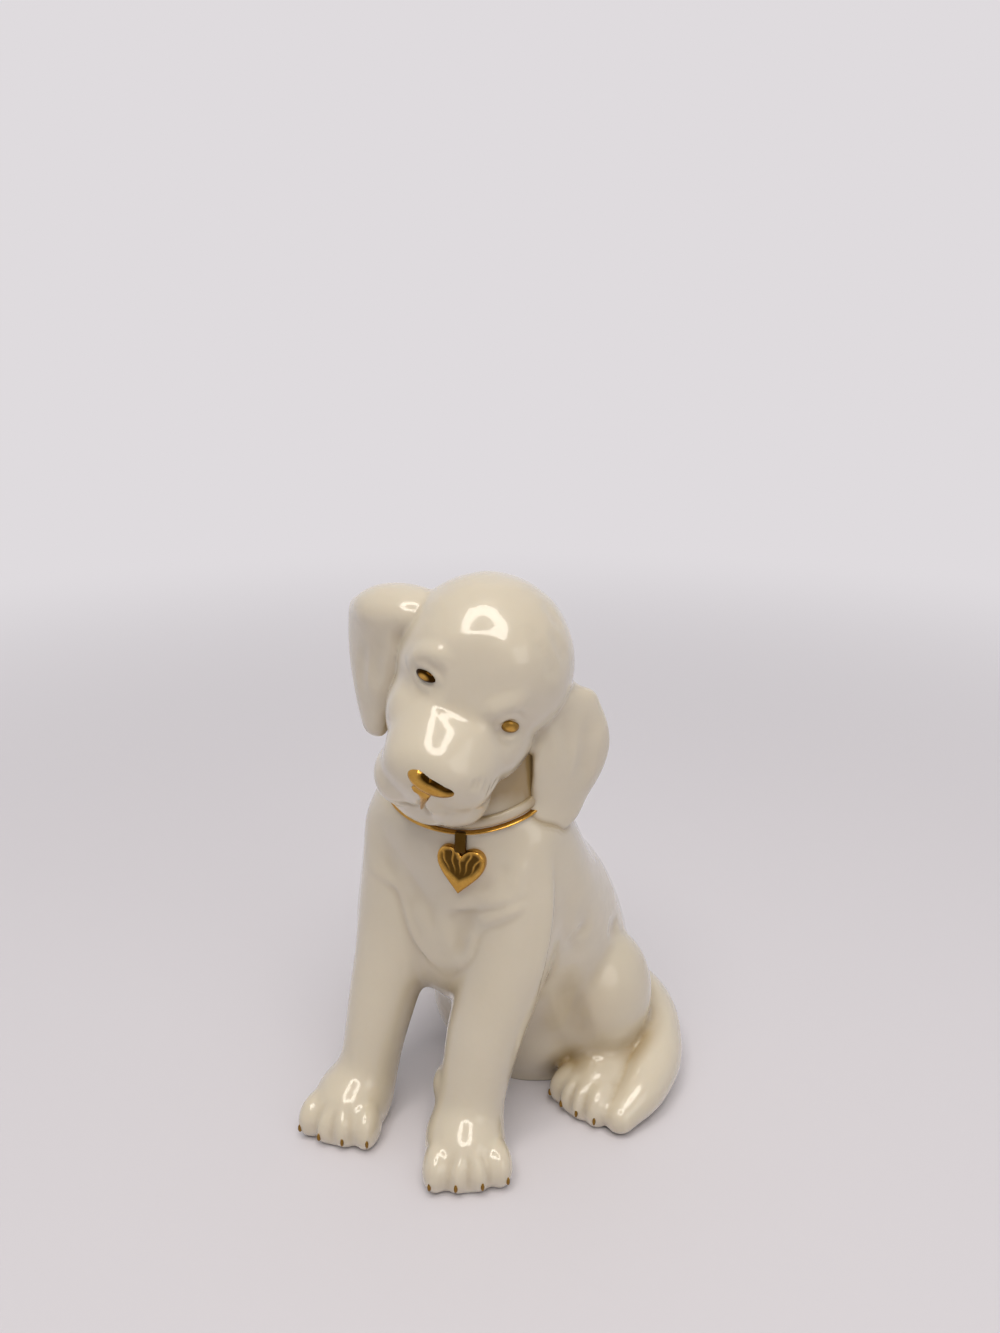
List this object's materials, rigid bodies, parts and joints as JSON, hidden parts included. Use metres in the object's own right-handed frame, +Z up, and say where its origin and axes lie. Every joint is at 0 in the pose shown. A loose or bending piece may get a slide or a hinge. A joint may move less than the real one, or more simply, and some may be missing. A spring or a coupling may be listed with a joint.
{
  "type": "porcelain dog figurine",
  "caption": "Sitting puppy figurine in ivory glazed porcelain with a cocked head, drop ears, a curled tail, and gilded eyes, nose, claws and heart tag; an ornament for a shelf.",
  "frame": {"origin": "on the table, under the middle of the figurine's box", "axes": "+Z up, -Y the way the chest faces, +X the puppy's left side"},
  "size_m": [0.067, 0.0828, 0.1082],
  "materials": {
    "porcelain": "clear glossy glaze over an ivory body",
    "gilding": "fired bright gold, mirror smooth"
  },
  "bodies": {
    "root": {"torso": "porcelain", "head": "porcelain", "left_ear": "porcelain", "right_ear": "porcelain", "left_foreleg": "porcelain", "right_foreleg": "porcelain", "left_hind_leg": "porcelain", "right_hind_leg": "porcelain", "tail": "porcelain", "collar": "porcelain", "collar_gilded_edge": "gilding", "tag_strap": "gilding", "heart_tag": "gilding", "nose": "gilding", "left_eye": "gilding", "right_eye": "gilding", "left_foreleg_claw_1": "gilding", "left_foreleg_claw_2": "gilding", "left_foreleg_claw_3": "gilding", "left_foreleg_claw_4": "gilding", "right_foreleg_claw_1": "gilding", "right_foreleg_claw_2": "gilding", "right_foreleg_claw_3": "gilding", "right_foreleg_claw_4": "gilding", "left_hind_leg_claw_1": "gilding", "left_hind_leg_claw_2": "gilding", "left_hind_leg_claw_3": "gilding", "left_hind_leg_claw_4": "gilding", "right_hind_leg_claw_1": "gilding", "right_hind_leg_claw_2": "gilding", "right_hind_leg_claw_3": "gilding", "right_hind_leg_claw_4": "gilding"}
  },
  "joints": []
}
